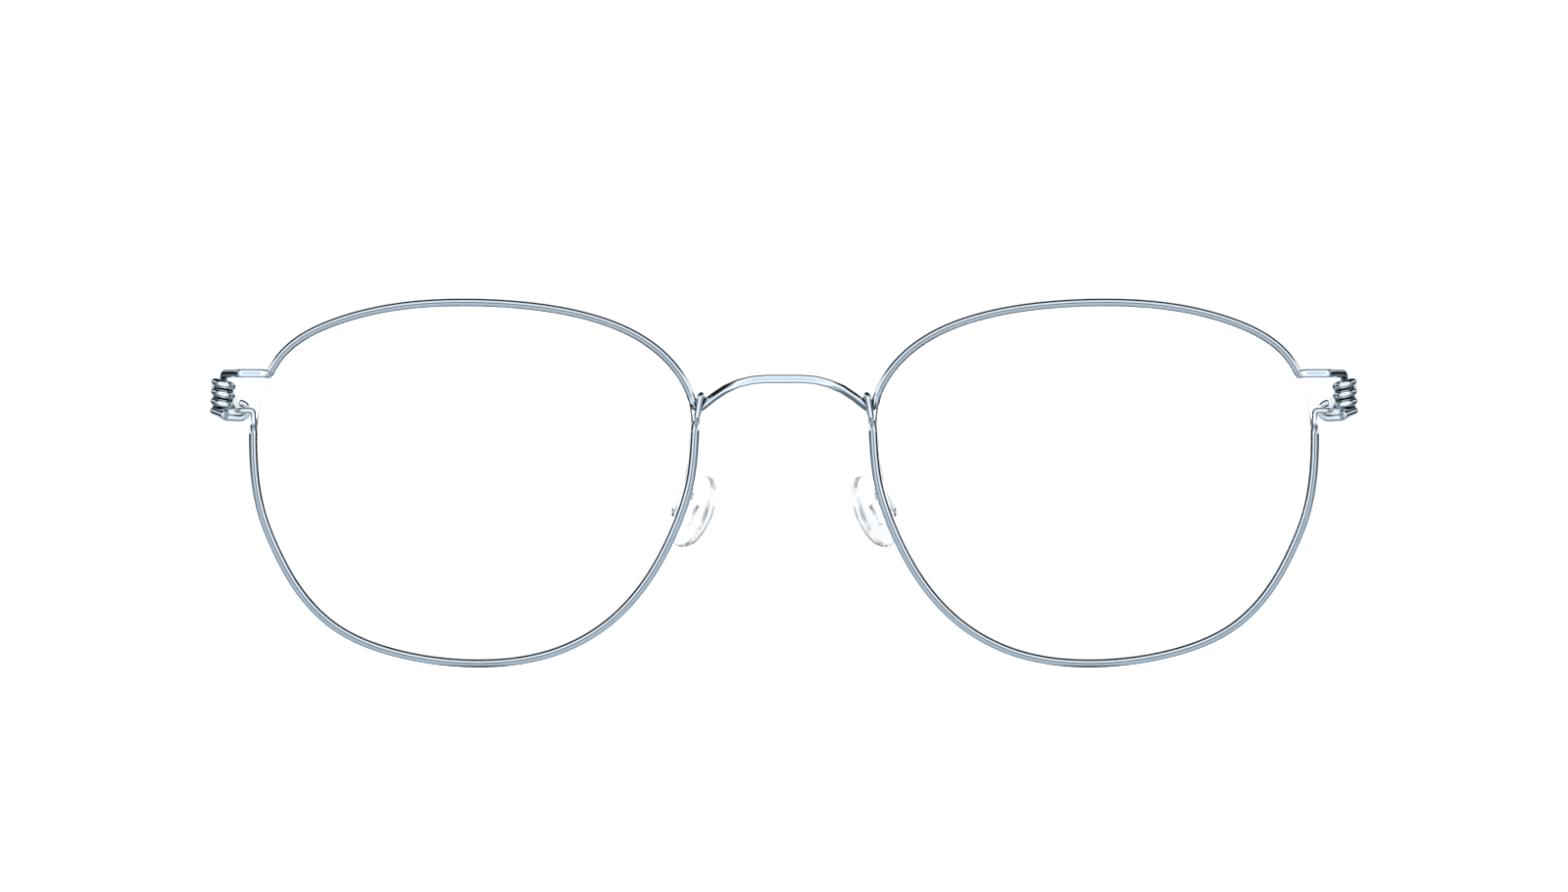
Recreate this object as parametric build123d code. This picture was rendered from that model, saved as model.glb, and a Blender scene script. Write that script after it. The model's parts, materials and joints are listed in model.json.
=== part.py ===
from build123d import *
from math import atan2, cos, hypot, pi, radians, sin, sqrt
import os

# Round wire eyeglasses, in millimetres.
# +Z is up, the front faces -Y, the temples run back along +Y, and +X is the wearer's left.
# Every piece is made on the wearer's left and mirrored; only the brow wire crosses the middle.

# Eye shape, through the middle of the rim wire
eye_width = 49.5
eye_height = 40.5
bridge_gap = 20.1           # between the two eyes, where they come nearest
base_radius = 130.0         # sphere that lens and rim follow

# Rim wire, with the groove that holds the lens
rim_radial = 1.0
rim_axial = 1.9
rim_rounding = 0.28
groove_depth = 0.45
groove_width = 1.1
seat_gap = 0.08             # between the lens and the rim

# Lens
lens_thickness = 1.7
tongue_thickness = 0.6

# Bridge and upper arms of the brow wire
bridge_tall = 1.0
bridge_deep = 0.8
bridge_rise = 11.7          # from the eye centre up to the middle of the bridge
bridge_bow = 1.5            # the middle of the bridge stands forward of its ends
bridge_arch = 9.0           # bend radius of the bridge's two shoulders
bridge_notch = 0.6          # bend radius where the bridge turns up from the rim
bridge_run = 4.95           # from the rim's end in to the shoulder's corner
notch_in = 0.6              # the notch lies this far in from the rim's end
notch_down = 0.95           # and this far below it
arm_tall = 1.0
arm_deep = 0.8
arm_length = 3.4            # from the rim's end out to the corner
arm_lift = 0.09             # arm's middle above the rim's end
wire_rounding = 0.25
wire_embed = 0.1            # how far one stretch of wire runs into the next

# Hinge: the temple wire is wound round a pin, with no screw
pin_diameter = 0.8
temple_wire_diameter = 1.04
running_gap = 0.045         # radial, between pin and coil
turn_gap = 0.05             # between neighbouring turns
coil_turns = 3
coil_lead = 40.0            # degrees that the coil runs on before its tail leaves it
tail_length = 2.0
hinge_out = 5.33            # from the brow's outer end out to the pin axis
hinge_back = 2.6            # pin axis behind the upper arm
fold_turn = 90.0            # degrees that the coil turns down towards the hook
pin_lean = 2.5              # degrees, the pin's top leans inward
pin_above = 0.43            # pin's straight part above the coil's wire
hook_below = 0.07           # hook's clearance under the folded coil
hook_gap = 0.15             # between the hook and the leg it holds
pin_bend = 0.55

# Lower arm, whose leg the hook holds
leg_width = 0.7
leg_tall = 0.6
leg_past = 0.9              # the leg ends this far behind the hook's middle
leg_gap = 0.12              # beside the coil
leg_bend = 0.7
leg_corner = 0.3            # the corner lies this far outside the leg's middle
kink_out = 0.2              # the arm stands this far outside the rim's end
kink_bend = 0.4

# Nasal loop of the lower rim wire, over the brow wire
loop_diameter = 0.7
loop_gap = 0.08
loop_rise = 0.85            # slack above the brow wire
loop_lean = 0.6             # the loop's top lies this far in from the rim's end
loop_span = 0.4             # between its front and back strands, in front view
loop_bends = [0.35, 0.5, 0.5]

# Nose pads and their wires
pad_wire_diameter = 0.7
pad_length = 8.8
pad_width = 5.6
pad_thickness = 1.7
pad_rounding = 0.6
boss_length = 3.0
boss_width = 2.3
boss_height = 1.5
pad_bore_gap = 0.04
pad_inward = 1.1            # pad's place from the rim where its wire is brazed
pad_behind = 5.6
pad_below = 2.74
pad_wire_rise = 0.9         # the wire turns over this far above the boss
pad_wire_reach = 1.3        # and comes up this far in front of it
pad_wire_low = Vector(1.4, 0.6, -2.8)       # from the rim to the front of the wire's round bottom
pad_wire_turn = Vector(0.45, 1.1, -0.2)     # and from there to the back of it
pad_wire_bends = [0.6, 0.6, 0.5, 0.5]
boss_rounding = 0.5
pad_wire_share = (-0.975, -0.03)    # where it is brazed to the rim, as a share of the eye's half size

# Temples
temple_length = 145.0       # from the pin back to the sleeve's end
bend_back = 97.0            # from the pin back to the temple's bend
bend_shift = 3.0            # the bend lies this much outside the coil
end_shift = 2.0             # and the end this much
bend_drop = 0.3
end_drop = 3.6
temple_bend = 160.0         # bend radius
stem_entry = 1.0            # first straight of the stem, on the coil's slope
stem_bend = 2.0
tip_diameter = 2.4
tip_length = 40.0
tip_gap = 0.02              # between sleeve and wire
tip_wall = 2.5              # closed end of the sleeve
tip_lip = 0.15              # left flat at the sleeve's mouth

# The eye outline as shares of half the eye's width and height
upper_share = [(-0.990, 0.454), (-0.941, 0.588), (-0.794, 0.773), (-0.527, 0.919), (-0.260, 0.980),
               (0.006, 1.000), (0.362, 0.974), (0.628, 0.893), (0.779, 0.806), (0.880, 0.697),
               (0.926, 0.605)]
open_share = [(0.964, 0.500)]
lower_share = [(0.993, 0.380), (1.001, 0.207), (0.988, -0.010), (0.960, -0.173), (0.895, -0.375),
               (0.806, -0.571), (0.628, -0.797), (0.362, -0.938), (0.006, -0.998), (-0.350, -0.943),
               (-0.614, -0.770), (-0.808, -0.499), (-0.921, -0.227), (-0.978, -0.010),
               (-1.000, 0.207), (-1.003, 0.345)]
outline_steps = 72          # places at which the lens edge is set in from the eye shape
guide_offset = 6.0          # a second guide beside a path keeps its section from turning

# Worked out from the sizes above
eye_x = (bridge_gap + eye_width) / 2
eye_z = eye_height / 2 + rim_radial / 2
coil_radius = pin_diameter / 2 + running_gap + temple_wire_diameter / 2
coil_outer = coil_radius + temple_wire_diameter / 2
coil_pitch = temple_wire_diameter + turn_gap
coil_height = coil_pitch * (coil_turns + coil_lead / 360)
coil_top = coil_height / 2
coil_slope = atan2(coil_pitch, 2 * pi * coil_radius)


def base_sag(x, z):
    """How far back the base sphere lies at a place in front view."""
    reach = hypot(x - eye_x, z - eye_z)
    return base_radius - sqrt(base_radius**2 - reach**2)


def on_rim(share):
    """The point on the middle of the rim wire for one share of the eye's size."""
    x = eye_x + share[0] * eye_width / 2
    z = eye_z + share[1] * eye_height / 2
    return Vector(x, base_sag(x, z), z)


def in_plane(share):
    """The same point with no depth."""
    point = on_rim(share)
    return Vector(point.X, 0, point.Z)


def rim_run(shares):
    """The stretch of the eye curve between the first and the last of the shares."""
    begin = eye_curve.param_at_point(on_rim(shares[0]))
    end = eye_curve.param_at_point(on_rim(shares[-1]))
    return eye_curve.trim(begin, end)


def across(path):
    """The plane across the start of a path, with its x axis along Y."""
    return Plane(path @ 0, x_dir=(0, 1, 0), z_dir=path % 0)


def round_wire(path, diameter):
    """Round wire along a path."""
    return sweep(Plane(path @ 0, z_dir=path % 0) * Circle(diameter / 2), path=path)


def flat_wire(path, section):
    """Wire whose section keeps its depth along Y all the way."""
    return sweep(across(path) * section, path=path, binormal=path.moved(Pos(0, guide_offset, 0)))


def rim_wire(path):
    """Rim wire with the groove on its lens side."""
    blank = RectangleRounded(rim_axial, rim_radial, rim_rounding)
    groove = Pos(0, (groove_depth - rim_radial) / 2) * Rectangle(groove_width, groove_depth)
    return flat_wire(path, blank - groove)


share_list = open_share + lower_share + upper_share
eye_curve = Spline(*[on_rim(share) for share in share_list], periodic=True)
eye_flat = Spline(*[in_plane(share) for share in share_list], periodic=True)
upper_path = rim_run(upper_share)
lower_path = rim_run(lower_share)
brow_inner = upper_path @ 0
brow_outer = upper_path @ 1
lower_outer = lower_path @ 0
lower_inner = lower_path @ 1

# The hinge's own place, with the pin along its Z and the outer side at its +X
arm_level = brow_outer.Z + arm_lift
pin_drop = (coil_top + temple_wire_diameter / 2 + pin_above) * cos(radians(pin_lean))
hinge_at = Vector(brow_outer.X + hinge_out, brow_outer.Y + hinge_back, arm_level - pin_drop)
hinge = Location(hinge_at, (0, -pin_lean, 0))
coil_under = -coil_top + coil_pitch * (180 + coil_lead - fold_turn) / 360 - temple_wire_diameter / 2
hook_z = coil_under - hook_below - pin_diameter / 2
leg_x = -coil_outer - leg_gap - leg_width / 2
hook_radius = (leg_tall + pin_diameter) / 2 + hook_gap
leg_z = hook_z + hook_radius


def in_hinge(x, y, z):
    """A point given in the hinge's own place."""
    return (hinge * Pos(x, y, z)).position


def mirror_x(point):
    """The same point on the other side."""
    return Vector(-point.X, point.Y, point.Z)


def upper_arm():
    """Flat arm from the rim's outer end, bent back and down into the pin, then hooked."""
    start = Vector(brow_outer.X - wire_embed, brow_outer.Y, arm_level)
    corner = Vector(brow_outer.X + arm_length, brow_outer.Y, arm_level)
    flat = flat_wire(Line(start, corner), RectangleRounded(arm_deep, arm_tall, wire_rounding))
    head = in_hinge(0, 0, coil_top + temple_wire_diameter / 2 + pin_above)
    head = Vector(head.X, head.Y, arm_level)
    foot = in_hinge(0, 0, hook_z)
    turn = in_hinge(leg_x, 0, hook_z)
    bent = FilletPolyline(corner - Vector(arm_length / 2, 0, 0), corner, head, foot, turn,
                          radius=[leg_bend, pin_bend, pin_bend])
    curl = hinge * (Pos(leg_x, 0, leg_z) * Rot(90, 0, 0)) * CenterArc((0, 0), hook_radius, -90, -180)
    return flat + round_wire(bent, pin_diameter) + round_wire(curl, pin_diameter)


def brow_wire():
    """One wire: hooks and pins, upper arms, upper rims and the bridge between them."""
    side = rim_wire(upper_path) + upper_arm()
    start = brow_inner + (upper_path % 0) * wire_embed + Vector(-rim_radial / 10, 0, 0)
    crown = eye_z + bridge_rise
    shoulder = Vector(brow_inner.X - bridge_run, brow_inner.Y - bridge_bow, crown)
    path = FilletPolyline(start, notch_at, shoulder, mirror_x(shoulder), mirror_x(notch_at), mirror_x(start),
                          radius=[bridge_notch, bridge_arch, bridge_arch, bridge_notch])
    bridge = flat_wire(path, RectangleRounded(bridge_deep, bridge_tall, wire_rounding))
    return side + mirror(side, about=Plane.YZ) + bridge


def lower_rim_wire():
    """Lower rim, with a loop over the brow wire and an arm whose leg the hook holds."""
    held = in_hinge(leg_x, 0, leg_z)
    kink_x = lower_outer.X + kink_out
    kink = Vector(kink_x, lower_outer.Y, min(lower_outer.Z, held.Z - kink_bend) - wire_embed)
    rise = Vector(kink_x, lower_outer.Y, held.Z)
    corner = Vector(held.X + leg_corner, lower_outer.Y, held.Z)
    back = held + (held - corner).normalized() * leg_past
    arm = round_wire(FilletPolyline(kink, rise, corner, back, radius=[kink_bend, leg_bend]), leg_tall)
    side = (bridge_deep + loop_diameter) / 2 + loop_gap
    top = notch_at.Z + (bridge_tall + loop_diameter) / 2 + loop_rise
    forward = Vector(0, -side, 0)
    root = lower_inner + Vector(-kink_out, 0, -wire_embed)
    foot = root + Vector(0, 0, loop_span)
    crest = Vector(lower_inner.X - loop_lean, lower_inner.Y, top)
    over = crest - Vector(loop_span, 0, 0)
    loop = FilletPolyline(root, foot + forward, crest + forward, over - forward, foot - forward,
                          radius=loop_bends)
    return rim_wire(lower_path) + arm + round_wire(loop, loop_diameter)


def lens():
    """Meniscus lens with a tongue round its edge that sits in the groove."""
    body = lens_layer(rim_radial / 2 + seat_gap, lens_thickness)
    tongue = lens_layer(rim_radial / 2 - groove_depth + seat_gap, tongue_thickness)
    return body + tongue


def lens_layer(inset, thickness):
    """The eye shape, inset from the wire's middle, cut from a shell on the base sphere."""
    outline = []
    for step in range(outline_steps):
        tangent = eye_flat % (step / outline_steps)
        outline.append(eye_flat @ (step / outline_steps) + Vector(tangent.Z, 0, -tangent.X) * inset)
    edge = Wire(Spline(*outline, periodic=True))
    prism = extrude(Face(edge), amount=base_radius / 8, dir=(0, 1, 0), both=True)
    centre = Pos(eye_x, base_radius, eye_z) * Rot(90, 0, 0)
    return (prism & centre * Sphere(base_radius + thickness / 2)) - centre * Sphere(base_radius - thickness / 2)


def nose_pad_wire():
    """Wire from the back of the lower rim, down, round and up, then down into the pad's boss."""
    end = pad_axle * Pos(0, 0, -boss_length / 2)
    top = pad_axle * Pos(0, 0, boss_length / 2 + pad_wire_rise)
    beside = top.position + pad_back * pad_wire_reach
    low = pad_wire_root + pad_wire_low
    path = FilletPolyline(pad_wire_root, low, low + pad_wire_turn, beside, top.position, end.position,
                          radius=pad_wire_bends)
    return round_wire(path, pad_wire_diameter)


def nose_pad():
    """Soft pad with a boss on its back that turns on the wire's end."""
    blank = extrude(Ellipse(pad_length / 2, pad_width / 2), amount=pad_thickness)
    blank = fillet(blank.edges(), radius=pad_rounding)
    block = extrude(RectangleRounded(boss_length, boss_width, boss_rounding), amount=boss_height)
    bore = Cylinder(pad_wire_diameter / 2 + pad_bore_gap, 2 * boss_length, rotation=(0, 90, 0))
    whole = blank + Pos(0, 0, pad_thickness) * block - Pos(0, 0, pad_axle_height) * bore
    return pad_place * whole


def temple_route():
    """The temple wire's route behind the coil, in the hinge's own place."""
    level = coil_top + stem_entry * sin(coil_slope)
    return [Vector(coil_radius, 0, coil_top), Vector(coil_radius, stem_entry * cos(coil_slope), level),
            Vector(coil_radius + bend_shift, bend_back, level - bend_drop),
            Vector(coil_radius + end_shift, temple_length, level - end_drop)]


def temple_wire():
    """Coil round the pin, the tail before it and the straight temple behind it."""
    route = temple_route()
    last = route[-1] - (route[-1] - route[-2]).normalized() * tip_wall
    stem = round_wire(FilletPolyline(*route[:-1], last, radius=[stem_bend, temple_bend]), temple_wire_diameter)
    turns = Pos(0, 0, -coil_top) * Rot(0, 0, -coil_lead) * Helix(coil_pitch, coil_height, coil_radius)
    coil = sweep(Plane(turns @ 0, z_dir=turns % 0) * Circle(temple_wire_diameter / 2), path=turns, is_frenet=True)
    tail_path = Line(turns @ 0, (turns @ 0) - (turns % 0) * tail_length)
    return hinge * (coil + stem + round_wire(tail_path, temple_wire_diameter))


def temple_tip():
    """Soft sleeve over the temple's end, bored for the wire and closed at the back."""
    route = temple_route()
    along = (route[-1] - route[-2]).normalized()
    place = Plane(route[-1], z_dir=-along)
    sleeve = extrude(place * Circle(tip_diameter / 2), amount=tip_length)
    ends = sleeve.faces().filter_by(GeomType.PLANE).edges()
    sleeve = fillet(ends, radius=(tip_diameter - temple_wire_diameter) / 2 - tip_gap - tip_lip)
    bore = Plane(route[-1] - along * tip_wall, z_dir=-along) * Circle(temple_wire_diameter / 2 + tip_gap)
    return hinge * (sleeve - extrude(bore, amount=tip_length))


notch_at = brow_inner + Vector(-notch_in, 0, -notch_down)

# The pad's place: long way up and slightly forward, face towards the nose and the wearer
pad_at = on_rim(pad_wire_share) + Vector(-pad_inward, pad_behind, -pad_below)
pad_up = Vector(-0.45, -0.22, 0.86).normalized()
pad_face = Vector(-0.77, 0.64, 0)
pad_back = (pad_up * pad_up.dot(pad_face) - pad_face).normalized()
pad_place = Location(Plane(pad_at, x_dir=pad_up, z_dir=pad_back))
pad_axle_height = pad_thickness + boss_height / 2
pad_axle = pad_place * Pos(0, 0, pad_axle_height) * Rot(0, 90, 0)
pad_wire_root = on_rim(pad_wire_share) + Vector(kink_out, rim_axial / 2 + 0.35 * pad_wire_diameter, 0)

halves = {
    "lower_rim_wire": lower_rim_wire(),
    "lens": lens(),
    "nose_pad_wire": nose_pad_wire(),
    "nose_pad": nose_pad(),
    "temple_wire": temple_wire(),
    "temple_tip": temple_tip(),
}
nodes = {"brow_wire": brow_wire()}
for name, piece in halves.items():
    nodes[name + "_left"] = piece
    nodes[name + "_right"] = mirror(piece, about=Plane.YZ)

# The origin goes to the middle of the whole object's foot
solids_made = [solid for piece in nodes.values() for solid in piece.solids()]
whole = Compound(solids_made).bounding_box(optimal=True)
to_origin = Pos(0, -(whole.min.Y + whole.max.Y) / 2, -whole.min.Z)
os.makedirs("parts", exist_ok=True)
for name, piece in nodes.items():
    solids = (to_origin * piece).solids()
    export_step(solids[0] if len(solids) == 1 else Compound(solids), f"parts/{name}.step")
    print(name, len(solids), round(piece.volume, 2))
print("size", whole.size, "shift", to_origin.position)
print("left hinge axis through", (to_origin * hinge).position)
print("left pad axle", (to_origin * pad_axle).position, "pad", (to_origin * pad_place).position)
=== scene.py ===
import json
from math import cos, hypot, pi, radians, sin, sqrt, tan

import bpy
import numpy as np
from mathutils import Matrix, Quaternion, Vector


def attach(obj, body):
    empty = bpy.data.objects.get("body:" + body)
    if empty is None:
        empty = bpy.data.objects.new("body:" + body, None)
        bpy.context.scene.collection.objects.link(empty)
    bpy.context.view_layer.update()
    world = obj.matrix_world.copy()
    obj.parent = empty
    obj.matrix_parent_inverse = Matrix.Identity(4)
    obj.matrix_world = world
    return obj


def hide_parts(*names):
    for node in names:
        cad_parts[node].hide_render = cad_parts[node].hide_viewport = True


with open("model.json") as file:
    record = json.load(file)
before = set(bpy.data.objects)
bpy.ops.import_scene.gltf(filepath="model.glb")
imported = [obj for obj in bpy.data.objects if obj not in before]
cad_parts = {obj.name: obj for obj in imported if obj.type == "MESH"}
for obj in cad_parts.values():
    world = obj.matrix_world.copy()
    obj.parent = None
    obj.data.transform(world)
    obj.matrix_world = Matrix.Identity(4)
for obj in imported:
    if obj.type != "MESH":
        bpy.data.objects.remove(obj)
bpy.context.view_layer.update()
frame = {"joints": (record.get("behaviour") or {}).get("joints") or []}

# Round wire eyeglasses. Sizes are in millimetres and become metres when a mesh is made.
# The front faces -Y, the temples run back along +Y, and the wearer's left is at +X.
joints = {joint["name"]: joint for joint in frame["joints"]}
mm = 0.001

# what every piece shares: the eye's place and the sphere that rims and lenses follow
eye = {
    "x": 34.8,
    "y": -74.7124,
    "z": 20.717,
    "width": 49.5,
    "height": 40.5,
    "sphere": 130.0,
    "perGap": 8,          # points on the outline between two of its shares
    "upper": [(-0.990, 0.454), (-0.941, 0.588), (-0.794, 0.773), (-0.527, 0.919), (-0.260, 0.980),
              (0.006, 1.000), (0.362, 0.974), (0.628, 0.893), (0.779, 0.806), (0.880, 0.697),
              (0.926, 0.605)],
    "open": [(0.964, 0.500)],
    "lower": [(0.993, 0.380), (1.001, 0.207), (0.988, -0.010), (0.960, -0.173), (0.895, -0.375),
              (0.806, -0.571), (0.628, -0.797), (0.362, -0.938), (0.006, -0.998), (-0.350, -0.943),
              (-0.614, -0.770), (-0.808, -0.499), (-0.921, -0.227), (-0.978, -0.010),
              (-1.000, 0.207), (-1.003, 0.345)],
}


def clearSelection():
    bpy.ops.object.select_all(action="DESELECT")


def pick(obj):
    clearSelection()
    obj.select_set(True)
    bpy.context.view_layer.objects.active = obj


def applyAll(obj):    # modifiers first, then the object's place
    pick(obj)
    for modifier in list(obj.modifiers):
        bpy.ops.object.modifier_apply(modifier=modifier.name)
    bpy.ops.object.transform_apply(location=True, rotation=True, scale=True)


def cleanFaces(obj):    # doubles merged, then every face turned outwards
    pick(obj)
    bpy.ops.object.mode_set(mode="EDIT")
    bpy.ops.mesh.select_all(action="SELECT")
    bpy.ops.mesh.remove_doubles(threshold=0.000001)
    bpy.ops.mesh.normals_make_consistent(inside=False)
    bpy.ops.object.mode_set(mode="OBJECT")


def smooth(obj, degreesSharp=40):
    pick(obj)
    bpy.ops.object.shade_smooth_by_angle(angle=radians(degreesSharp))


def mirrored(obj, name):    # the wearer's right, from the finished left piece
    pick(obj)
    bpy.ops.object.duplicate()
    twin = bpy.context.object
    twin.name = twin.data.name = name
    twin.scale.x = -1
    bpy.ops.object.transform_apply(location=False, rotation=False, scale=True)
    cleanFaces(twin)
    return twin


def onRim(share):
    x, z = share[0] * eye["width"] / 2, share[1] * eye["height"] / 2
    back = eye["sphere"] - sqrt(eye["sphere"] ** 2 - x * x - z * z)
    return Vector((eye["x"] + x, eye["y"] + back, eye["z"] + z))


def smoothLoop(points, perGap):    # a closed cubic line through all the points
    p = np.array(points, float)
    n = len(p)
    ahead = np.roll(p, -1, 0) - p
    gap = np.linalg.norm(ahead, axis=1)
    before = np.roll(gap, 1)
    rows = np.zeros((n, n))
    for i in range(n):
        rows[i, i - 1] = gap[i]
        rows[i, i] = 2 * (before[i] + gap[i])
        rows[i, (i + 1) % n] = before[i]
    right = 3 * ((gap / before)[:, None] * np.roll(ahead, 1, 0) + (before / gap)[:, None] * ahead)
    slope = np.linalg.solve(rows, right)
    line = []
    for i in range(n):
        j = (i + 1) % n
        for step in range(perGap):
            t = step / perGap
            places = (2 * t**3 - 3 * t**2 + 1) * p[i] + (3 * t**2 - 2 * t**3) * p[j]
            bows = (t**3 - 2 * t**2 + t) * slope[i] + (t**3 - t**2) * slope[j]
            line.append(places + bows * gap[i])
    return [Vector(q) for q in line]


def bentLine(corners, bends, spacing=0.5):    # straight runs joined by round bends
    corners = [Vector(c) for c in corners]
    line = [corners[0]]
    for before, corner, after, bend in zip(corners, corners[1:], corners[2:], bends):
        a, b = (before - corner).normalized(), (after - corner).normalized()
        half = a.angle(b) / 2
        centre = corner + (a + b).normalized() * bend / sin(half)
        first = corner + a * bend / tan(half) - centre
        axis = first.cross(corner + b * bend / tan(half) - centre)
        steps = max(4, int((pi - 2 * half) / radians(9)))
        line += [centre + Quaternion(axis, (pi - 2 * half) * k / steps) @ first
                 for k in range(steps + 1)]
    line.append(corners[-1])
    return fillIn(line, spacing)


def fillIn(line, spacing):    # more points on the long straight runs
    full = [line[0]]
    for a, b in zip(line, line[1:]):
        count = max(1, int((b - a).length / spacing))
        full += [a.lerp(b, (k + 1) / count) for k in range(count)]
    return full


# Sections across a wire are 40 points, from the outer side over the front to the lens side
# and back. The first number points away from the lens, the second one backwards.
halfRound = 21


def oval(tall, deep, square=2.0):    # 2 is round, 4 is a flat ribbon with rounded corners
    front = []
    for k in range(halfRound):
        angle = pi * k / (halfRound - 1)
        c, s = cos(angle), sin(angle)
        front.append((tall / 2 * abs(c) ** (2 / square) * (1 if c >= 0 else -1),
                      -deep / 2 * max(s, 0) ** (2 / square)))
    return wholeSection(front)


def wholeSection(front):
    back = [(u, -v) for u, v in front[-2:0:-1]]
    return np.array(front + back)


rimSection = wholeSection([
    (0.500, 0.00), (0.500, -0.30), (0.495, -0.58), (0.455, -0.69), (0.400, -0.775), (0.345, -0.850),
    (0.295, -0.905), (0.235, -0.937), (0.165, -0.945), (0.100, -0.93), (0.055, -0.85), (0.020, -0.82),
    (-0.010, -0.84),
    (-0.050, -0.900), (-0.150, -0.865), (-0.260, -0.805), (-0.370, -0.740), (-0.455, -0.67),
    (-0.470, -0.55), (-0.100, -0.42), (-0.050, 0.00)])


def depthFrames(line, upright):    # depth stays along Y between the two upright points
    tangents = []
    for i in range(len(line)):
        tangents.append((line[min(i + 1, len(line) - 1)] - line[max(i - 1, 0)]).normalized())
    depths = [None] * len(line)
    lo, hi = upright
    for i in range(lo, hi + 1):
        depth = Vector((0, 1, 0))
        depths[i] = (depth - tangents[i] * depth.dot(tangents[i])).normalized()
    for i in range(lo - 1, -1, -1):
        turn = tangents[i + 1].rotation_difference(tangents[i])
        depths[i] = (turn @ depths[i + 1]).normalized()
    for i in range(hi + 1, len(line)):
        turn = tangents[i - 1].rotation_difference(tangents[i])
        depths[i] = (turn @ depths[i - 1]).normalized()
    return [(d.cross(t), d) for d, t in zip(depths, tangents)]


domeHeight = 0.14    # of a wire's filed end
domeSteps = [(0.10, 0.50), (0.30, 0.85), (0.62, 1.00)]    # share drawn in, share of the height


def drawWire(name, line, sections, upright=(0, 0), tilts=None):    # a ring at each point, then skinned
    frames = depthFrames(line, upright)
    rings = []
    for i, place in enumerate(line):
        out, deep = frames[i]
        tilt = tilts[i] if tilts else 0
        across = out * cos(tilt) + deep * sin(tilt)
        along = deep * cos(tilt) - out * sin(tilt)
        rings.append([place + across * u + along * v for u, v in sections[i]])
    for end, inner in ((0, 1), (-1, -2)):
        face = rings[end]
        middle = sum(face, Vector()) / len(face)
        ahead = (line[end] - line[inner]).normalized()
        domed = [[middle + (p - middle) * (1 - drawn) + ahead * domeHeight * rise for p in face]
                 for drawn, rise in domeSteps]
        rings = domed[::-1] + rings if end == 0 else rings + domed
    count = len(rings[0])
    verts = [p * mm for ring in rings for p in ring]
    faces, uvs = [], []
    run = np.cumsum([0] + [(Vector(b[0]) - Vector(a[0])).length for a, b in zip(rings, rings[1:])])
    for i in range(len(rings) - 1):
        for j in range(count):
            k = (j + 1) % count
            faces.append((i * count + j, i * count + k, (i + 1) * count + k, (i + 1) * count + j))
            uvs += [(run[i], j / count), (run[i], (j + 1) / count),
                    (run[i + 1], (j + 1) / count), (run[i + 1], j / count)]
    last = (len(rings) - 1) * count
    faces += [tuple(range(count))[::-1], tuple(range(last, last + count))]
    uvs += [(run[0], 0.5)] * count + [(run[-1], 0.5)] * count
    mesh = bpy.data.meshes.new(name)
    mesh.from_pydata(verts, [], faces)
    layer = mesh.uv_layers.new(name="alongWire")
    for loop, uv in zip(layer.data, uvs):
        loop.uv = uv
    obj = bpy.data.objects.new(name, mesh)
    bpy.context.scene.collection.objects.link(obj)
    cleanFaces(obj)
    smooth(obj)
    return obj


def blendSections(marks, count):    # a mark is (index, section), and between two it changes softly
    made = []
    for i in range(count):
        earlier = [m for m in marks if m[0] <= i][-1]
        later = [m for m in marks if m[0] >= i][0]
        share = 0 if later[0] == earlier[0] else (i - earlier[0]) / (later[0] - earlier[0])
        share = share * share * (3 - 2 * share)
        made.append(earlier[1] * (1 - share) + later[1] * share)
    return made


eyeLoop = smoothLoop([onRim(s) for s in eye["open"] + eye["lower"] + eye["upper"]], eye["perGap"])
firstLower = len(eye["open"]) * eye["perGap"]
firstUpper = firstLower + len(eye["lower"]) * eye["perGap"]
lowerRun = eyeLoop[firstLower:firstUpper - eye["perGap"] + 1]      # outer end to inner end
upperRun = eyeLoop[firstUpper:len(eyeLoop) - eye["perGap"] + 1]    # inner end to outer end
browInner, browOuter = upperRun[0], upperRun[-1]
lowerOuter, lowerInner = lowerRun[0], lowerRun[-1]

hinge = {
    "lean": 2.5,
    "coilTop": 1.696,
    "coilRadius": 0.965,
    "pitch": 1.09,
    "turns": 3 + 40 / 360,
    "pin": 0.8,
    "hookLevel": -2.293,
    "legX": -1.955,
    "hookRadius": 0.85,
    "level": 0.09,         # arm above the rim's outer end
    "armRun": 3.4,
    "armStart": 0.9,       # where the flat arm begins, out from the rim's end
    "headRise": 0.97,      # from the coil's top up to the arm
    "bends": [0.7, 0.55, 0.55],
    "curlSteps": 20,
}
hingeAt = Vector(joints["temple_left_fold"]["pos_m"]) / mm
hingePlace = Matrix.Translation(hingeAt) @ Matrix.Rotation(-radians(hinge["lean"]), 4, "Y")


def inHinge(x, y, z):
    return hingePlace @ Vector((x, y, z))


print("materials")


def newMaterial(name):
    mat = bpy.data.materials.new(name)
    mat.use_nodes = True
    nodes, links = mat.node_tree.nodes, mat.node_tree.links
    return mat, nodes, links, nodes["Principled BSDF"]


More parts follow.
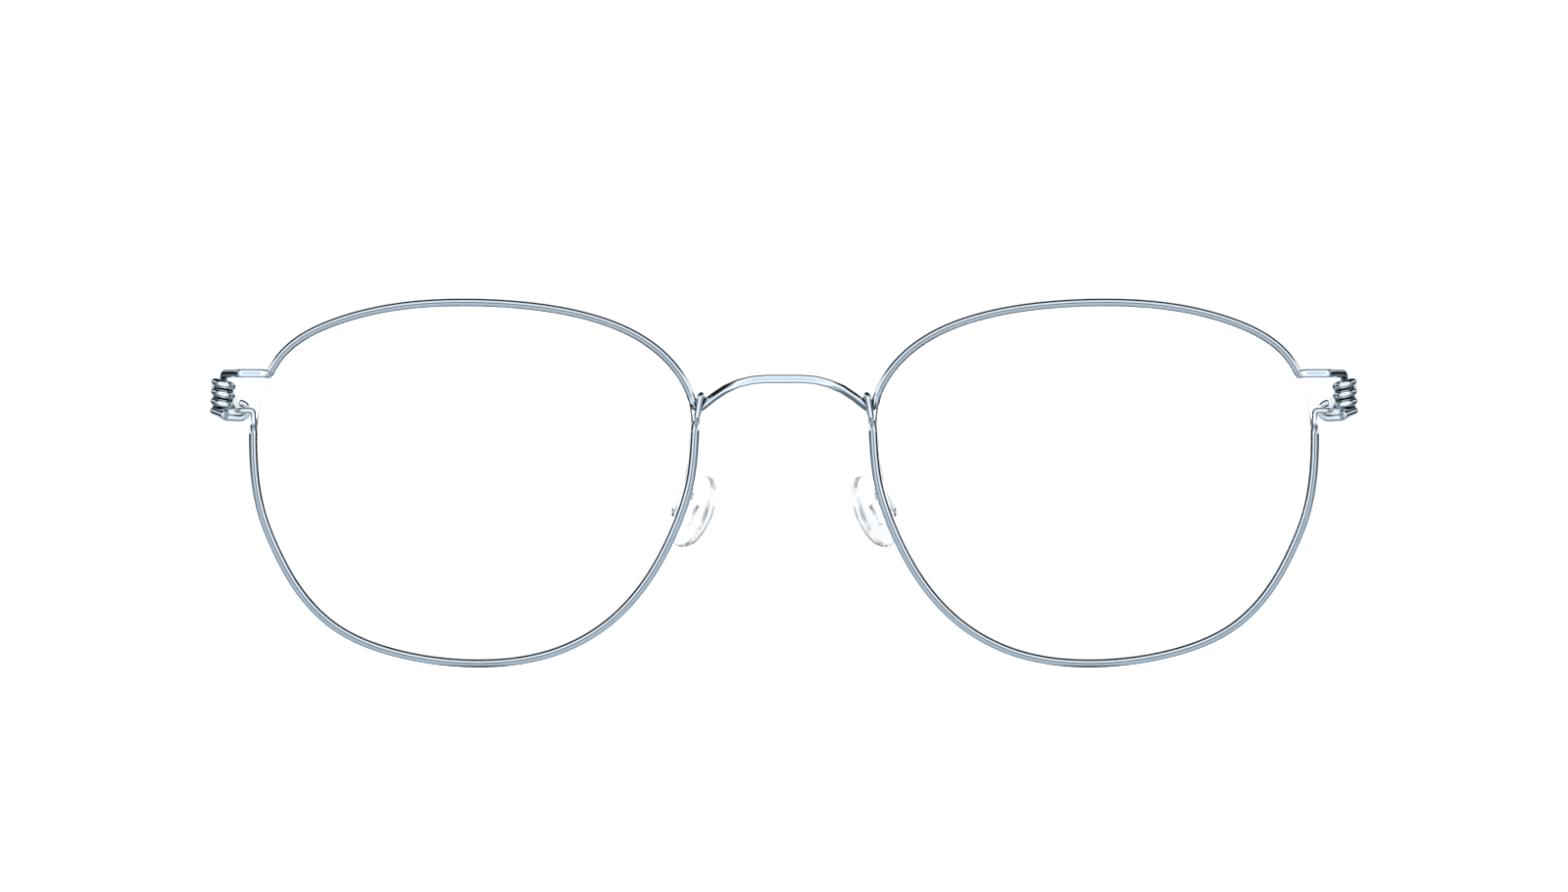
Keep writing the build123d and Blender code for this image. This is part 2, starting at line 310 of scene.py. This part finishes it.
def wireFinish():
    # the darkest colour here is painted shade, put into crevices by an occlusion mask
    look = {"bright": (0.88, 0.93, 0.97, 1), "dull": (0.76, 0.83, 0.89, 1), "paintedShade": (0.05, 0.06, 0.07, 1),
            "smooth": 0.05, "worn": 0.15}
    mat, nodes, links, shader = newMaterial("polishedTitanium")
    shader.inputs["Metallic"].default_value = 1.0
    coords = nodes.new("ShaderNodeTexCoord")
    stretch = nodes.new("ShaderNodeMapping")    # drawn lines run along the wire
    stretch.inputs["Scale"].default_value = (0.35, 60, 1)
    links.new(coords.outputs["UV"], stretch.inputs["Vector"])
    lines = nodes.new("ShaderNodeTexNoise")
    lines.inputs["Scale"].default_value = 1.0
    lines.inputs["Detail"].default_value = 4
    links.new(stretch.outputs["Vector"], lines.inputs["Vector"])
    clouds = nodes.new("ShaderNodeTexNoise")
    clouds.inputs["Scale"].default_value = 420
    clouds.inputs["Detail"].default_value = 5
    links.new(coords.outputs["Object"], clouds.inputs["Vector"])
    tone = nodes.new("ShaderNodeMix")
    tone.data_type = "RGBA"
    tone.inputs["A"].default_value = look["bright"]
    tone.inputs["B"].default_value = look["dull"]
    links.new(clouds.outputs["Fac"], tone.inputs["Factor"])
    creviceShade = nodes.new("ShaderNodeAmbientOcclusion")    # painted shade: the colour turns near black in crevices, between the coil's turns and under the hook, where shade falls
    creviceShade.samples = 8
    creviceShade.inputs["Distance"].default_value = 0.0005
    shadeMask = nodes.new("ShaderNodeMapRange")
    shadeMask.inputs["From Min"].default_value = 0.35
    shadeMask.inputs["From Max"].default_value = 0.85
    links.new(creviceShade.outputs["AO"], shadeMask.inputs["Value"])
    # painted shade mixed into the base colour where the occlusion mask is low
    shadedTone = nodes.new("ShaderNodeMix")
    shadedTone.data_type = "RGBA"
    shadedTone.inputs["A"].default_value = look["paintedShade"]
    links.new(shadeMask.outputs["Result"], shadedTone.inputs["Factor"])
    links.new(tone.outputs["Result"], shadedTone.inputs["B"])
    links.new(shadedTone.outputs["Result"], shader.inputs["Base Color"])
    rough = nodes.new("ShaderNodeMapRange")
    rough.inputs["From Min"].default_value = 0.35
    rough.inputs["From Max"].default_value = 0.75
    rough.inputs["To Min"].default_value = look["smooth"]
    rough.inputs["To Max"].default_value = look["worn"]
    links.new(clouds.outputs["Fac"], rough.inputs["Value"])
    links.new(rough.outputs["Result"], shader.inputs["Roughness"])
    bump = nodes.new("ShaderNodeBump")
    bump.inputs["Strength"].default_value = 0.12
    bump.inputs["Distance"].default_value = 0.00001
    links.new(lines.outputs["Fac"], bump.inputs["Height"])
    links.new(bump.outputs["Normal"], shader.inputs["Normal"])
    return mat


def lensFinish():
    mat, nodes, links, shader = newMaterial("clearLens")
    shader.inputs["Base Color"].default_value = (1, 1, 1, 1)
    shader.inputs["Transmission Weight"].default_value = 1.0
    shader.inputs["IOR"].default_value = 1.5
    coords = nodes.new("ShaderNodeTexCoord")
    haze = nodes.new("ShaderNodeTexNoise")    # a wiped surface is never quite even
    haze.inputs["Scale"].default_value = 90
    haze.inputs["Detail"].default_value = 6
    links.new(coords.outputs["Object"], haze.inputs["Vector"])
    rough = nodes.new("ShaderNodeMapRange")
    rough.inputs["From Min"].default_value = 0.45
    rough.inputs["From Max"].default_value = 0.8
    rough.inputs["To Min"].default_value = 0.0
    rough.inputs["To Max"].default_value = 0.02
    links.new(haze.outputs["Fac"], rough.inputs["Value"])
    links.new(rough.outputs["Result"], shader.inputs["Roughness"])
    return mat


def siliconeFinish():
    mat, nodes, links, shader = newMaterial("clearSilicone")
    shader.inputs["Transmission Weight"].default_value = 0.92
    shader.inputs["IOR"].default_value = 1.41
    coords = nodes.new("ShaderNodeTexCoord")
    cloud = nodes.new("ShaderNodeTexNoise")
    cloud.inputs["Scale"].default_value = 260
    cloud.inputs["Detail"].default_value = 4
    links.new(coords.outputs["Object"], cloud.inputs["Vector"])
    tone = nodes.new("ShaderNodeMix")
    tone.data_type = "RGBA"
    tone.inputs["A"].default_value = (0.96, 0.97, 0.98, 1)
    tone.inputs["B"].default_value = (0.88, 0.91, 0.93, 1)
    links.new(cloud.outputs["Fac"], tone.inputs["Factor"])
    links.new(tone.outputs["Result"], shader.inputs["Base Color"])
    rough = nodes.new("ShaderNodeMapRange")
    rough.inputs["To Min"].default_value = 0.08
    rough.inputs["To Max"].default_value = 0.22
    links.new(cloud.outputs["Fac"], rough.inputs["Value"])
    links.new(rough.outputs["Result"], shader.inputs["Roughness"])
    grain = nodes.new("ShaderNodeTexNoise")
    grain.inputs["Scale"].default_value = 5200
    links.new(coords.outputs["Object"], grain.inputs["Vector"])
    bump = nodes.new("ShaderNodeBump")
    bump.inputs["Strength"].default_value = 0.08
    bump.inputs["Distance"].default_value = 0.00002
    links.new(grain.outputs["Fac"], bump.inputs["Height"])
    links.new(bump.outputs["Normal"], shader.inputs["Normal"])
    return mat


titanium, clearLens, silicone = wireFinish(), lensFinish(), siliconeFinish()


def setUp(obj, body, node, material):
    obj.data.materials.clear()
    obj.data.materials.append(material)
    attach(obj, body)
    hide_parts(node)


print("brow wire")
brow = {
    "bridgeTall": 1.0,
    "bridgeDeep": 0.8,
    "flatness": 3.0,
    "crown": 11.7,
    "bow": 1.5,
    "run": 4.95,
    "bends": [0.6, 9.0, 9.0, 0.6],
    "notch": (-0.6, 0, -0.95),
    "twist": 0.75,          # radians that the ribbon turns on its way down to the notch
    "twistFrom": 3.8,       # from the middle
    "twistRun": 3.6,
    "untwist": 0.5,         # how soon the twist ends where the rim begins
}
notchAt = browInner + Vector(brow["notch"])


def browWire():
    ribbon = oval(brow["bridgeTall"], brow["bridgeDeep"], brow["flatness"])
    pin = oval(hinge["pin"], hinge["pin"])
    level = browOuter.z + hinge["level"]
    corner = Vector((browOuter.x + hinge["armRun"], browOuter.y, level))
    head = inHinge(0, 0, hinge["coilTop"] + hinge["headRise"])
    head.z = level
    foot, turn = inHinge(0, 0, hinge["hookLevel"]), inHinge(hinge["legX"], 0, hinge["hookLevel"])
    curl = []
    for k in range(1, hinge["curlSteps"] + 1):
        angle = pi * k / hinge["curlSteps"]
        curl.append(inHinge(hinge["legX"] - hinge["hookRadius"] * sin(angle), 0,
                            hinge["hookLevel"] + hinge["hookRadius"] * (1 - cos(angle))))
    armStart = browOuter + Vector((hinge["armStart"], 0, hinge["level"]))
    outside = bentLine([armStart, corner, head, foot, turn], hinge["bends"], 0.3) + curl
    rim = upperRun[::-1]
    shoulder = Vector((browInner.x - brow["run"], browInner.y - brow["bow"],
                       eye["z"] + brow["crown"]))
    flip = Vector((-1, 1, 1))
    corners = [browInner, notchAt, shoulder]
    bridge = bentLine(corners + [c * flip for c in corners[::-1]], brow["bends"], 0.4)
    half = outside[::-1] + rim
    line = half + bridge[1:-1] + [p * flip for p in half[::-1]]
    armIndex = len(outside) - 1
    cornerIndex, headIndex = [
        armIndex - min(range(len(outside)), key=lambda i: (outside[i] - place).length)
        for place in (corner, head)]
    rimEnd = len(half) - 1
    n = len(line)
    marks = [(0, pin), (headIndex - 6, pin), (headIndex, ribbon), (armIndex, ribbon),
             (armIndex + 2, rimSection), (rimEnd - 4, rimSection), (rimEnd + 5, ribbon)]
    marks += [(n - 1 - i, section) for i, section in marks[::-1]]
    tilts = []
    for p in line:
        near = min(max((abs(p.x) - brow["twistFrom"]) / brow["twistRun"], 0), 1)
        leave = min(max((browInner.x + 0.1 - abs(p.x)) / brow["untwist"], 0), 1)
        side = 1 if p.x > 0 else -1
        tilts.append(-side * brow["twist"] * near * near * (3 - 2 * near) * leave)
    return drawWire("browWire", line, blendSections(marks, n),
                    (cornerIndex + 1, n - 2 - cornerIndex), tilts)


browPiece = browWire()
setUp(browPiece, "front", "brow_wire", titanium)

print("lower rim wires")
lower = {
    "leg": 0.66,
    "legPast": 0.9,
    "legCorner": 0.3,
    "legBend": 0.7,
    "kinkOut": 0.2,
    "kinkUp": 0.1,
    "kinkBend": 0.34,
    "loop": 0.7,
    "loopGap": 0.08,
    "loopRise": 0.85,
    "loopLean": 0.6,
    "loopSpan": 0.4,
    "loopRoot": 0.15,
    "loopBends": [0.3, 0.5, 0.5],
    "spacing": 0.25,
}


def lowerRimWire():
    held = inHinge(hinge["legX"], 0, hinge["hookLevel"] + hinge["hookRadius"])
    kink = Vector((lowerOuter.x + lower["kinkOut"], lowerOuter.y, lowerOuter.z + lower["kinkUp"]))
    rise = Vector((kink.x, kink.y, held.z))
    corner = Vector((held.x + lower["legCorner"], lowerOuter.y, held.z))
    tail = held + (held - corner).normalized() * lower["legPast"]
    arm = bentLine([tail, corner, rise, kink], [lower["legBend"], lower["kinkBend"]],
                   lower["spacing"])
    side = (brow["bridgeDeep"] + lower["loop"]) / 2 + lower["loopGap"]
    top = notchAt.z + (brow["bridgeTall"] + lower["loop"]) / 2 + lower["loopRise"]
    forward = Vector((0, -side, 0))
    root = lowerInner + Vector((-lower["kinkOut"], 0, lower["loopRoot"]))
    foot = root + Vector((0, 0, lower["loopSpan"] - lower["loopRoot"]))
    crest = Vector((lowerInner.x - lower["loopLean"], lowerInner.y, top))
    over = crest - Vector((lower["loopSpan"], 0, 0))
    loop = bentLine([root, foot + forward, crest + forward, over - forward, foot - forward],
                    lower["loopBends"], lower["spacing"])
    line = arm + lowerRun[2:-1] + loop
    n = len(line)
    armEnd = len(arm) - 1
    rimEnd = armEnd + len(lowerRun) - 3
    strand, leg = oval(lower["loop"], lower["loop"]), oval(lower["leg"], lower["leg"])
    marks = [(0, leg), (armEnd, leg), (armEnd + 4, rimSection), (rimEnd - 3, rimSection),
             (rimEnd + 4, strand), (n - 1, strand)]
    return drawWire("lowerRimLeft", line, blendSections(marks, n), (armEnd - 2, rimEnd))


lowerLeft = lowerRimWire()
lowerRight = mirrored(lowerLeft, "lowerRimRight")
setUp(lowerLeft, "front", "lower_rim_wire_left", titanium)
setUp(lowerRight, "front", "lower_rim_wire_right", titanium)

print("lenses")
lensSizes = {
    "thick": 1.7,
    "tongue": 0.6,
    "inset": 0.58,
    "tongueInset": 0.13,
    "tongueRoot": 0.05,    # how much wider the tongue is where it leaves the lens
    "rings": 14,
    "bevel": 0.08,
}


def lensPiece():
    count = len(eyeLoop)
    flat = [Vector((p.x, 0, p.z)) for p in eyeLoop]
    inwards = []
    for i in range(count):
        t = (flat[(i + 1) % count] - flat[i - 1]).normalized()
        inwards.append(Vector((t.z, 0, -t.x)))
    middle = Vector((eye["x"], 0, eye["z"]))

    def ring(inset, depth, share=1.0):
        made = []
        for p, n in zip(flat, inwards):
            q = middle + (p + n * inset - middle) * share
            reach = hypot(q.x - eye["x"], q.z - eye["z"])
            radius = eye["sphere"] - depth
            q.y = eye["y"] + eye["sphere"] - sqrt(radius * radius - reach * reach)
            made.append(q)
        return made

    half, bevel, inset = lensSizes["thick"] / 2, lensSizes["bevel"], lensSizes["inset"]
    tip, root = lensSizes["tongue"] / 4, lensSizes["tongue"] / 2 + lensSizes["tongueRoot"]
    shares = [k / lensSizes["rings"] for k in range(1, lensSizes["rings"])]
    rings = [ring(inset + bevel, -half, s) for s in shares] + [ring(inset + bevel, -half)]
    rings += [ring(inset, -half + bevel), ring(inset, -root), ring(lensSizes["tongueInset"], -tip),
              ring(lensSizes["tongueInset"], tip), ring(inset, root), ring(inset, half - bevel)]
    rings += [ring(inset + bevel, half)] + [ring(inset + bevel, half, s) for s in shares[::-1]]
    verts = [p * mm for r in rings for p in r]
    faces = []
    for i in range(len(rings) - 1):
        for j in range(count):
            k = (j + 1) % count
            faces.append((i * count + j, i * count + k, (i + 1) * count + k, (i + 1) * count + j))
    for first, depth in ((0, -half), ((len(rings) - 1) * count, half)):
        verts.append(Vector((eye["x"], eye["y"] + depth, eye["z"])) * mm)
        faces += [(first + j, first + (j + 1) % count, len(verts) - 1) for j in range(count)]
    mesh = bpy.data.meshes.new("lensLeft")
    mesh.from_pydata(verts, [], faces)
    obj = bpy.data.objects.new("lensLeft", mesh)
    bpy.context.scene.collection.objects.link(obj)
    cleanFaces(obj)
    smooth(obj, 30)
    return obj


lensLeft = lensPiece()
lensRight = mirrored(lensLeft, "lensRight")
setUp(lensLeft, "front", "lens_left", clearLens)
setUp(lensRight, "front", "lens_right", clearLens)
for lens in (lensLeft, lensRight):
    lens.visible_shadow = False

print("nose pads")
pad = {
    "at": Vector((9.56875, 7.8608 - 74.7124, 17.3695)),
    "up": Vector((-0.45, -0.22, 0.86)).normalized(),
    "face": Vector((-0.77, 0.64, 0)),
    "length": 8.8,
    "width": 5.6,
    "thick": 1.7,
    "boss": (3.0, 2.3, 1.5),
    "bore": 0.39,
    "wire": 0.7,
    "share": (-0.975, -0.03),    # where its wire meets the rim
    "taper": 0.10,
    "crown": 0.75,
    "bossFillet": 0.45,
    "sunk": 0.3,                 # how far the boss runs into the pad
    "rootShift": (0.2, 1.195, 0),
    "embed": (-0.25, -0.25, 0.5),
    "low": (1.4, 0.6, -2.8),
    "turn": (0.45, 1.1, -0.2),
    "rise": 0.9,
    "reach": 1.3,
    "bends": [0.3, 0.6, 0.6, 0.5, 0.5],
}
padBack = (pad["up"] * pad["up"].dot(pad["face"]) - pad["face"]).normalized()
padSide = padBack.cross(pad["up"])
padTurn = Matrix((pad["up"], padSide, padBack)).transposed().to_4x4()
padPlace = Matrix.Translation(pad["at"] * mm) @ padTurn
axle = pad["at"] + padBack * (pad["thick"] + pad["boss"][2] / 2)


def nosePad():
    clearSelection()
    bpy.ops.mesh.primitive_uv_sphere_add(segments=64, ring_count=32, radius=1)
    obj = bpy.context.object
    obj.name = obj.data.name = "nosePadLeft"
    for v in obj.data.vertices:    # a flattened drop, fuller at its lower end
        x, y, z = v.co
        narrow = 1 - pad["taper"] * x
        rounded = abs(z) ** pad["crown"] * (1 if z > 0 else -1)
        v.co = Vector((x * pad["length"] / 2, y * narrow * pad["width"] / 2,
                       pad["thick"] / 2 * (1 + rounded))) * mm
    long, wide, high = pad["boss"]
    bpy.ops.mesh.primitive_cube_add(
        size=1, location=(0, 0, (pad["thick"] - pad["sunk"] + high / 2) * mm),
        scale=(long * mm, wide * mm, (high + 2 * pad["sunk"]) * mm))
    boss = bpy.context.object
    bpy.ops.object.transform_apply(location=True, rotation=True, scale=True)
    soft = boss.modifiers.new("soft", "BEVEL")
    soft.width, soft.segments = pad["bossFillet"] * mm, 5
    applyAll(boss)
    bpy.ops.mesh.primitive_cylinder_add(
        vertices=40, radius=pad["bore"] * mm, depth=2 * long * mm, rotation=(0, pi / 2, 0),
        location=(0, 0, (pad["thick"] + high / 2) * mm))
    bore = bpy.context.object
    applyAll(bore)
    for tool, operation in ((boss, "UNION"), (bore, "DIFFERENCE")):
        cut = obj.modifiers.new("cut", "BOOLEAN")
        cut.object, cut.operation, cut.solver = tool, operation, "EXACT"
        pick(obj)
        bpy.ops.object.modifier_apply(modifier=cut.name)
        bpy.data.objects.remove(tool)
    obj.data.transform(padPlace)
    cleanFaces(obj)
    smooth(obj, 35)
    return obj


def padWire():
    root = onRim(pad["share"]) + Vector(pad["rootShift"])
    low = root + Vector(pad["low"])
    top = axle + pad["up"] * (pad["boss"][0] / 2 + pad["rise"])
    end = axle - pad["up"] * pad["boss"][0] / 2
    line = bentLine([root + Vector(pad["embed"]), root, low, low + Vector(pad["turn"]),
                     top + padBack * pad["reach"], top, end], pad["bends"], 0.2)
    return drawWire("padWireLeft", line, [oval(pad["wire"], pad["wire"])] * len(line))


padLeft = nosePad()
padRight = mirrored(padLeft, "nosePadRight")
wireLeft = padWire()
wireRight = mirrored(wireLeft, "padWireRight")
setUp(padLeft, "nose_pad_left", "nose_pad_left", silicone)
setUp(padRight, "nose_pad_right", "nose_pad_right", silicone)
setUp(wireLeft, "front", "nose_pad_wire_left", titanium)
setUp(wireRight, "front", "nose_pad_wire_right", titanium)

print("temples")
temple = {
    "wire": 1.04,
    "tail": 2.0,
    "lead": 40,            # degrees that the coil runs on before its tail leaves it
    "stepsPerTurn": 36,
    "route": [(0.965, 0.981, 1.873), (3.965, 97.0, 1.573), (2.965, 145.0, -1.727)],
    "bends": [2.0, 160.0],
    "sleeve": 2.4,
    "sleeveLength": 40.0,
    "wall": 2.5,
    "bore": 0.54,
    "domeSteps": 10,
}


def templeWire():
    r, turns = hinge["coilRadius"], hinge["turns"]
    count = int(turns * temple["stepsPerTurn"])
    coil = []
    for k in range(count + 1):
        angle = -radians(temple["lead"]) + 2 * pi * turns * k / count
        coil.append(inHinge(r * cos(angle), r * sin(angle),
                            -hinge["coilTop"] + hinge["pitch"] * turns * k / count))
    tailEnd = coil[0] - (coil[1] - coil[0]).normalized() * temple["tail"]
    route = [coil[-1]] + [inHinge(*p) for p in temple["route"]]
    route[-1] = route[-1] - (route[-1] - route[-2]).normalized() * temple["wall"]
    stem = bentLine(route, temple["bends"], 2.5)
    line = fillIn([tailEnd, coil[0]], 0.4) + coil[1:] + stem[1:]
    return drawWire("templeWireLeft", line, [oval(temple["wire"], temple["wire"])] * len(line))


def templeTip():
    end, before = inHinge(*temple["route"][-1]), inHinge(*temple["route"][-2])
    along = (end - before).normalized()
    radius, length = temple["sleeve"] / 2, temple["sleeveLength"]
    floor, bore = length - temple["wall"], temple["bore"]
    profile = [(floor, 0), (floor, bore), (0.25, bore), (0.0, bore + 0.12)]    # along the sleeve, radius
    profile += [(0.0, radius - 0.32), (0.10, radius - 0.16), (0.3, radius - 0.08), (4, radius - 0.05),
                (12, radius)]
    for k in range(temple["domeSteps"] + 1):
        angle = pi / 2 * k / temple["domeSteps"]
        profile.append((length - radius + radius * sin(angle), radius * cos(angle)))
    mesh = bpy.data.meshes.new("templeTipLeft")
    edges = [(k, k + 1) for k in range(len(profile) - 1)]
    mesh.from_pydata([(r * mm, 0, a * mm) for a, r in profile], edges, [])
    obj = bpy.data.objects.new("templeTipLeft", mesh)
    bpy.context.scene.collection.objects.link(obj)
    pick(obj)
    bpy.ops.object.mode_set(mode="EDIT")
    bpy.ops.mesh.select_all(action="SELECT")
    bpy.ops.mesh.spin(steps=48, angle=2 * pi, center=(0, 0, 0), axis=(0, 0, 1))
    bpy.ops.object.mode_set(mode="OBJECT")
    turned = along.to_track_quat("Z", "X").to_matrix().to_4x4()
    obj.data.transform(Matrix.Translation((end - along * length) * mm) @ turned)
    cleanFaces(obj)
    smooth(obj, 40)
    return obj


for maker, title, node, finish, slot in (
        (templeWire, "templeWire", "temple_wire", titanium, "titanium_wire"),
        (templeTip, "templeTip", "temple_tip", silicone, "clear_silicone")):
    left = maker()
    right = mirrored(left, title + "Right")
    setUp(left, "temple_left", node + "_left", finish)
    setUp(right, "temple_right", node + "_right", finish)

print("studio")
studio = {
    "backdrop": 1.12,
    "cards": 1.15,
    "floor": 6.0,
    "lens": 400.0,
    "sensor": 36,
    "field": 176.0,     # width seen at the rims
    "height": 24.9,
    "rimY": -72.1,
    "lamps": [("overhead", (0, -0.2, 0.8), 0.9, 6), ("side", (-0.9, -0.6, 0.5), 0.6, 3)],
}


def buildFloor():
    clearSelection()
    bpy.ops.mesh.primitive_plane_add(size=studio["floor"], location=(0, 0, 0))
    floor = bpy.context.object
    floor.name = "floor"
    mat, nodes, links, shader = newMaterial("paleFloor")
    shader.inputs["Base Color"].default_value = (0.97, 0.97, 0.97, 1)
    shader.inputs["Roughness"].default_value = 0.9
    shader.inputs["Specular IOR Level"].default_value = 0.1
    shader.inputs["Emission Color"].default_value = (1, 1, 1, 1)
    shader.inputs["Emission Strength"].default_value = 0.35
    floor.data.materials.append(mat)
    floor.visible_glossy = False


def buildWorld():    # plain white to look at, dark and pale cards in the metal's reflections
    world = bpy.data.worlds.new("whiteStudio")
    bpy.context.scene.world = world
    world.use_nodes = True
    nodes, links = world.node_tree.nodes, world.node_tree.links
    ground = nodes["Background"]
    ground.inputs["Color"].default_value = (1, 1, 1, 1)
    ground.inputs["Strength"].default_value = studio["backdrop"]
    coords = nodes.new("ShaderNodeTexCoord")
    split = nodes.new("ShaderNodeSeparateXYZ")
    links.new(coords.outputs["Generated"], split.inputs["Vector"])

    def ramp(source, stops):
        node = nodes.new("ShaderNodeValToRGB")
        scaled = nodes.new("ShaderNodeMapRange")
        scaled.inputs["From Min"].default_value = -1
        links.new(source, scaled.inputs["Value"])
        links.new(scaled.outputs["Result"], node.inputs["Fac"])
        while len(node.color_ramp.elements) < len(stops):
            node.color_ramp.elements.new(1)
        for element, (place, colour) in zip(node.color_ramp.elements, stops):
            element.position, element.color = (place + 1) / 2, (*colour, 1)
        return node.outputs["Color"]

    white, black = (1, 1, 1), (0, 0, 0)
    dark, mid = (0.004, 0.006, 0.008), (0.10, 0.14, 0.17)
    sky, pale, steel = (0.62, 0.72, 0.84), (0.36, 0.45, 0.52), (0.38, 0.46, 0.54)
    above = ramp(split.outputs["Y"], [(-1, sky), (-0.93, white), (-0.78, white), (-0.62, pale),
                                      (-0.38, dark), (0.62, dark), (0.76, white)])
    below = ramp(split.outputs["Y"], [(-1, sky), (-0.95, white), (-0.84, white), (-0.70, steel),
                                      (-0.45, steel), (-0.20, mid), (0.55, mid), (0.78, white)])
    height = ramp(split.outputs["Z"], [(-0.25, black), (0.05, white)])
    mix = nodes.new("ShaderNodeMix")
    mix.data_type = "RGBA"
    links.new(height, mix.inputs["Factor"])
    links.new(below, mix.inputs["A"])
    links.new(above, mix.inputs["B"])
    sides = ramp(split.outputs["X"], [(-0.84, white), (-0.78, black), (0.78, black),
                                      (0.84, white)])
    strip = ramp(split.outputs["Z"], [(0.20, black), (0.28, white), (0.50, white),
                                      (0.58, black)])
    panel = nodes.new("ShaderNodeMath")    # a long soft panel at each side, above eye level
    panel.operation = "MULTIPLY"
    links.new(sides, panel.inputs[0])
    links.new(strip, panel.inputs[1])
    lit = nodes.new("ShaderNodeMix")
    lit.data_type = "RGBA"
    links.new(panel.outputs["Value"], lit.inputs["Factor"])
    links.new(mix.outputs["Result"], lit.inputs["A"])
    lit.inputs["B"].default_value = (0.9, 0.95, 1, 1)
    cards = nodes.new("ShaderNodeBackground")
    links.new(lit.outputs["Result"], cards.inputs["Color"])
    cards.inputs["Strength"].default_value = studio["cards"]
    path = nodes.new("ShaderNodeLightPath")
    mirrors = nodes.new("ShaderNodeMath")    # 1 once the light has been mirrored, also through a lens
    mirrors.operation = "MINIMUM"
    mirrors.inputs[1].default_value = 1
    links.new(path.outputs["Glossy Depth"], mirrors.inputs[0])
    both = nodes.new("ShaderNodeMixShader")
    links.new(mirrors.outputs["Value"], both.inputs["Fac"])
    links.new(ground.outputs["Background"], both.inputs[1])
    links.new(cards.outputs["Background"], both.inputs[2])
    links.new(both.outputs["Shader"], nodes["World Output"].inputs["Surface"])


def buildLight():
    for name, place, size, power in studio["lamps"]:
        data = bpy.data.lights.new(name, "AREA")
        data.size, data.energy = size, power
        lamp = bpy.data.objects.new(name, data)
        lamp.location = place
        aim = Vector((0, 0, 0.02)) - Vector(place)
        lamp.rotation_euler = aim.to_track_quat("-Z", "Y").to_euler()
        lamp.visible_glossy = False
        bpy.context.scene.collection.objects.link(lamp)


def buildCamera():
    data = bpy.data.cameras.new("front")
    data.lens, data.sensor_width = studio["lens"], studio["sensor"]
    distance = studio["field"] * studio["lens"] / data.sensor_width
    data.clip_start, data.clip_end = 0.05, 20
    camera = bpy.data.objects.new("front", data)
    camera.location = Vector((0, studio["rimY"] - distance, studio["height"])) * mm
    camera.rotation_euler = (pi / 2, 0, 0)
    bpy.context.scene.collection.objects.link(camera)
    bpy.context.scene.camera = camera


buildFloor()
buildWorld()
buildLight()
buildCamera()
bpy.context.scene.view_settings.view_transform = "Standard"

bpy.context.view_layer.update()
